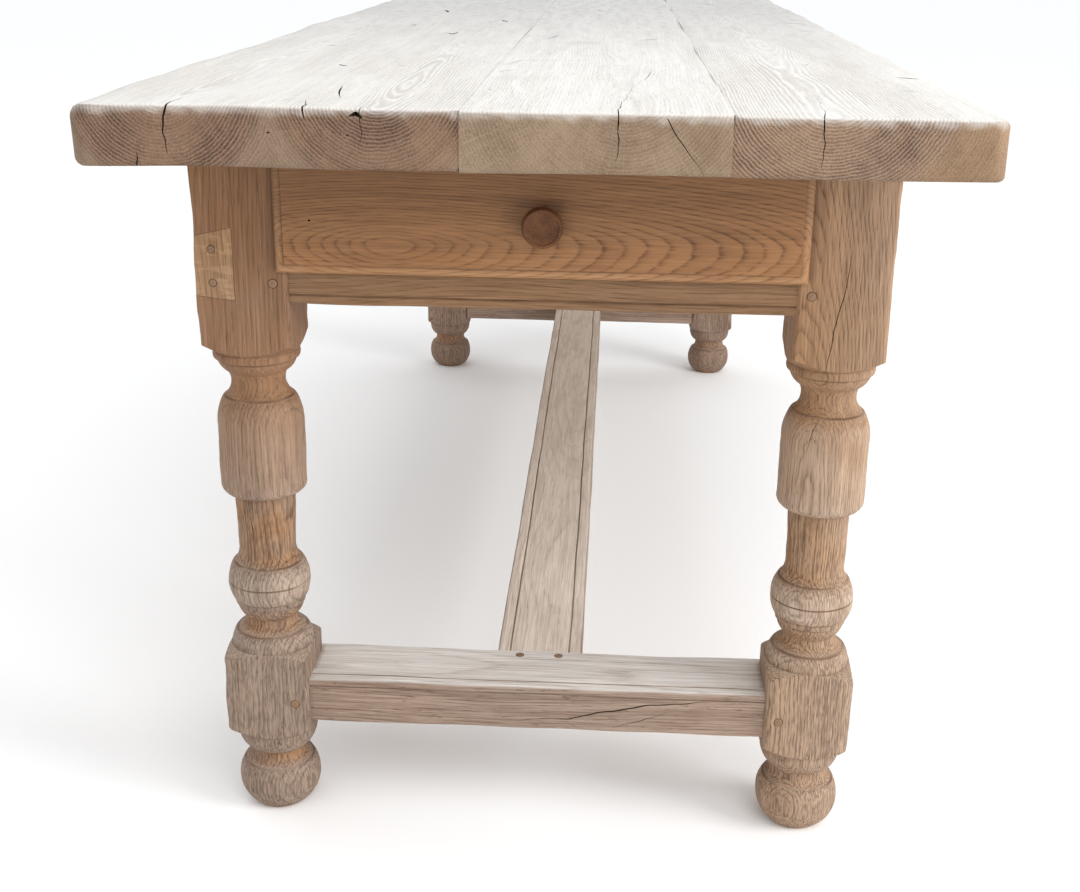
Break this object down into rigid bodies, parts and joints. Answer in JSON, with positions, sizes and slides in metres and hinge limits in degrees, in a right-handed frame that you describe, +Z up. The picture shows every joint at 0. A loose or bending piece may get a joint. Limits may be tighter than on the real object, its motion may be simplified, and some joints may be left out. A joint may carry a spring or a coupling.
{
  "type": "refectory table",
  "caption": "Long oak refectory table with a thick plank top, turned legs, beaded stretchers near the floor and a lipped drawer with a round knob that slides out of one end.",
  "frame": {"origin": "on the floor under the middle of the top", "axes": "+Z up, +Y along the table away from the drawer end, +X to the right as seen from the drawer end"},
  "size_m": [0.764, 2.04, 0.77],
  "materials": {
    "oak_top": "bleached and scrubbed, dry",
    "oak_frame": "dry scraped oak, worn pale on the edges",
    "oak_stretcher": "dry scraped oak, greyed on top by feet",
    "oak_patch": "dry scraped oak",
    "oak_drawer": "plain-sawn oak, dull wax",
    "oak_knob": "handled oak, dull sheen",
    "oak_peg": "cleft oak, end grain showing",
    "inner_wood": "unfinished",
    "iron": "dark forged iron"
  },
  "bodies": {
    "table": {"top_plank_left": "oak_top", "top_plank_middle": "oak_top", "top_plank_right": "oak_top", "leg_front_left": "oak_frame", "leg_front_right": "oak_frame", "leg_back_left": "oak_frame", "leg_back_right": "oak_frame", "side_apron_left": "oak_frame", "side_apron_right": "oak_frame", "back_apron": "oak_frame", "drawer_rail": "oak_frame", "end_stretcher_front": "oak_stretcher", "end_stretcher_back": "oak_stretcher", "long_stretcher": "oak_stretcher", "leg_patch": "oak_patch", "apron_pegs": "oak_peg", "rail_pegs": "oak_peg", "stretcher_pegs": "oak_peg", "long_stretcher_pegs": "oak_peg", "patch_pegs": "oak_peg", "top_tongue_left": "inner_wood", "top_tongue_right": "inner_wood", "cross_rail_front": "inner_wood", "cross_rail_back": "inner_wood", "drawer_runner_left": "inner_wood", "drawer_runner_right": "inner_wood", "drawer_guide_left": "inner_wood", "drawer_guide_right": "inner_wood", "top_buttons": "inner_wood", "guide_nails": "iron", "button_screws": "iron"},
    "drawer": {"drawer_front": "oak_drawer", "drawer_side_left": "inner_wood", "drawer_side_right": "inner_wood", "drawer_back": "inner_wood", "drawer_board_front": "inner_wood", "drawer_board_middle": "inner_wood", "drawer_board_back": "inner_wood", "drawer_knob": "oak_knob", "drawer_bottom_nails": "iron"}
  },
  "joints": [
    {"name": "drawer_slide", "type": "slide", "parent": "table", "child": "drawer", "axis": [0, -1, 0], "range_m": [0, 0.38]}
  ]
}
